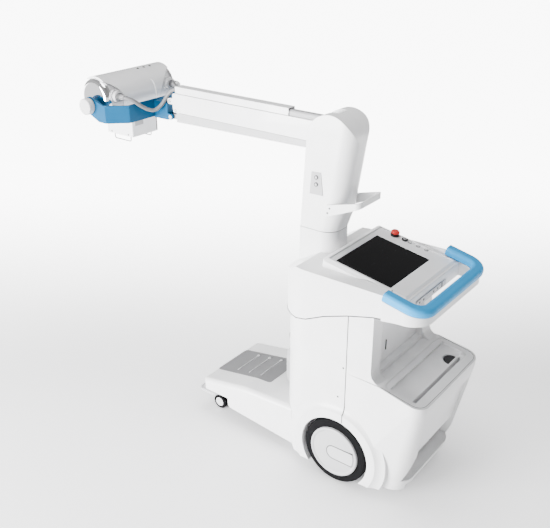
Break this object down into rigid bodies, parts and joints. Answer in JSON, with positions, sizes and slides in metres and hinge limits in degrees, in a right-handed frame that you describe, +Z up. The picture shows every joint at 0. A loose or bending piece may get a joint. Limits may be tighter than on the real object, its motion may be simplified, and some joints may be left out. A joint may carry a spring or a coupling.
{
  "type": "portable x-ray machine",
  "caption": "wheeled x-ray unit: a cabinet with a tilted control screen and push handle, a swivelling mast, a pitching parallel arm and a tube head in a yoke",
  "frame": {"origin": "the middle of the bounding box on the floor", "axes": "+X forward, from the push handle to the tube head; +Y to the machine's left; +Z up"},
  "size_m": [1.9646, 0.594, 1.638],
  "materials": {
    "white_cover": "satin",
    "white_metal": "satin enamel",
    "tube_white": "white satin paint",
    "light_grey": "satin",
    "mat_grey": "ribbed matte",
    "blue_grip": "satin",
    "blue_metal": "satin paint",
    "frame_steel": "black powder coat",
    "pack_block": "plain",
    "axle_steel": "brushed",
    "black_plastic": "matte",
    "red_button": "gloss",
    "chrome_trim": "polished",
    "screen_glass": "gloss",
    "tyre_grey": "matte",
    "cable_grey": "matte",
    "cable_white": "matte",
    "cap_metal": "satin"
  },
  "bodies": {
    "base": {"chassis_frame": "frame_steel", "rear_axle": "axle_steel", "power_pack": "pack_block", "deck": "white_cover", "deck_mat": "mat_grey", "bumper_plate": "light_grey", "cabinet_front": "white_cover", "cabinet_rear": "white_cover", "bin_tray": "light_grey", "shoulder": "white_cover", "push_handle": "blue_grip", "desk": "light_grey", "screen": "screen_glass", "stop_collar": "black_plastic", "stop_button": "red_button", "key_switch": "chrome_trim", "desk_lamps": "light_grey", "port_panel": "mat_grey", "column": "white_metal", "vent_cowl": "mat_grey", "cowl_peg": "black_plastic"},
    "rear_wheel_left": {"rear_tyre_left": "tyre_grey", "rear_hub_left": "light_grey"},
    "rear_wheel_right": {"rear_tyre_right": "tyre_grey", "rear_hub_right": "light_grey"},
    "caster_left": {"caster_fork_left": "mat_grey"},
    "caster_right": {"caster_fork_right": "mat_grey"},
    "caster_left_wheels": {"caster_wheel_left": "black_plastic"},
    "caster_right_wheels": {"caster_wheel_right": "black_plastic"},
    "mast": {"mast_socket": "axle_steel", "mast_shell_left": "white_cover", "mast_shell_right": "white_cover", "keypad_plate": "mat_grey", "keypad_buttons": "black_plastic", "grab_strap": "white_metal", "mast_pins": "axle_steel"},
    "arm": {"arm_beam": "white_metal", "arm_cover": "white_cover", "arm_conduit": "mat_grey"},
    "link": {"arm_link": "tube_white"},
    "carrier": {"yoke": "blue_metal", "yoke_knobs": "light_grey", "head_pins": "axle_steel", "hv_cable_left": "cable_grey", "hv_cable_right": "cable_grey", "control_lead": "cable_white"},
    "tube": {"tube_body": "tube_white", "tube_hood": "white_cover", "end_caps": "cap_metal", "cable_sockets": "light_grey"},
    "collimator_head": {"collimator": "white_cover", "collimator_window": "mat_grey", "wire_rails": "chrome_trim"}
  },
  "joints": [
    {"name": "rear_wheel_left_spin", "type": "hinge", "parent": "base", "child": "rear_wheel_left", "pos_m": [-0.573, 0.246, 0.16], "axis": [0, 1, 0], "continuous": true},
    {"name": "rear_wheel_right_spin", "type": "hinge", "parent": "base", "child": "rear_wheel_right", "pos_m": [-0.573, -0.246, 0.16], "axis": [0, 1, 0], "continuous": true},
    {"name": "caster_left_swivel", "type": "hinge", "parent": "base", "child": "caster_left", "pos_m": [0.219, 0.145, 0.13], "axis": [0, 0, 1], "continuous": true},
    {"name": "caster_right_swivel", "type": "hinge", "parent": "base", "child": "caster_right", "pos_m": [0.219, -0.145, 0.13], "axis": [0, 0, 1], "continuous": true},
    {"name": "caster_left_roll", "type": "hinge", "parent": "caster_left", "child": "caster_left_wheels", "pos_m": [0.201, 0.145, 0.038], "axis": [0, 1, 0], "continuous": true},
    {"name": "caster_right_roll", "type": "hinge", "parent": "caster_right", "child": "caster_right_wheels", "pos_m": [0.201, -0.145, 0.038], "axis": [0, 1, 0], "continuous": true},
    {"name": "mast_swivel", "type": "hinge", "parent": "base", "child": "mast", "pos_m": [-0.314, 0, 1.11], "axis": [0, 0, 1], "range_deg": [-90, 90]},
    {"name": "arm_pitch", "type": "hinge", "parent": "mast", "child": "arm", "pos_m": [-0.37, 0, 1.526], "axis": [0, -1, 0], "range_deg": [-45, 35]},
    {"name": "link_pitch", "type": "hinge", "parent": "mast", "child": "link", "pos_m": [-0.37, 0, 1.448], "axis": [0, -1, 0], "range_deg": [-45, 35]},
    {"name": "carrier_level", "type": "hinge", "parent": "arm", "child": "carrier", "pos_m": [0.587, 0, 1.526], "axis": [0, -1, 0], "range_deg": [-35, 45]},
    {"name": "tube_tilt", "type": "hinge", "parent": "carrier", "child": "tube", "pos_m": [0.883, 0, 1.506], "axis": [0, -1, 0], "range_deg": [-20, 90], "deforming": ["hv_cable_left", "hv_cable_right", "control_lead"]},
    {"name": "collimator_turn", "type": "hinge", "parent": "tube", "child": "collimator_head", "pos_m": [0.883, 0, 1.433], "axis": [0, 0, 1], "range_deg": [-90, 90]}
  ],
  "couplings": [
    {"joint": "link_pitch", "follows": "arm_pitch", "ratio": 1},
    {"joint": "carrier_level", "follows": "arm_pitch", "ratio": -1}
  ]
}
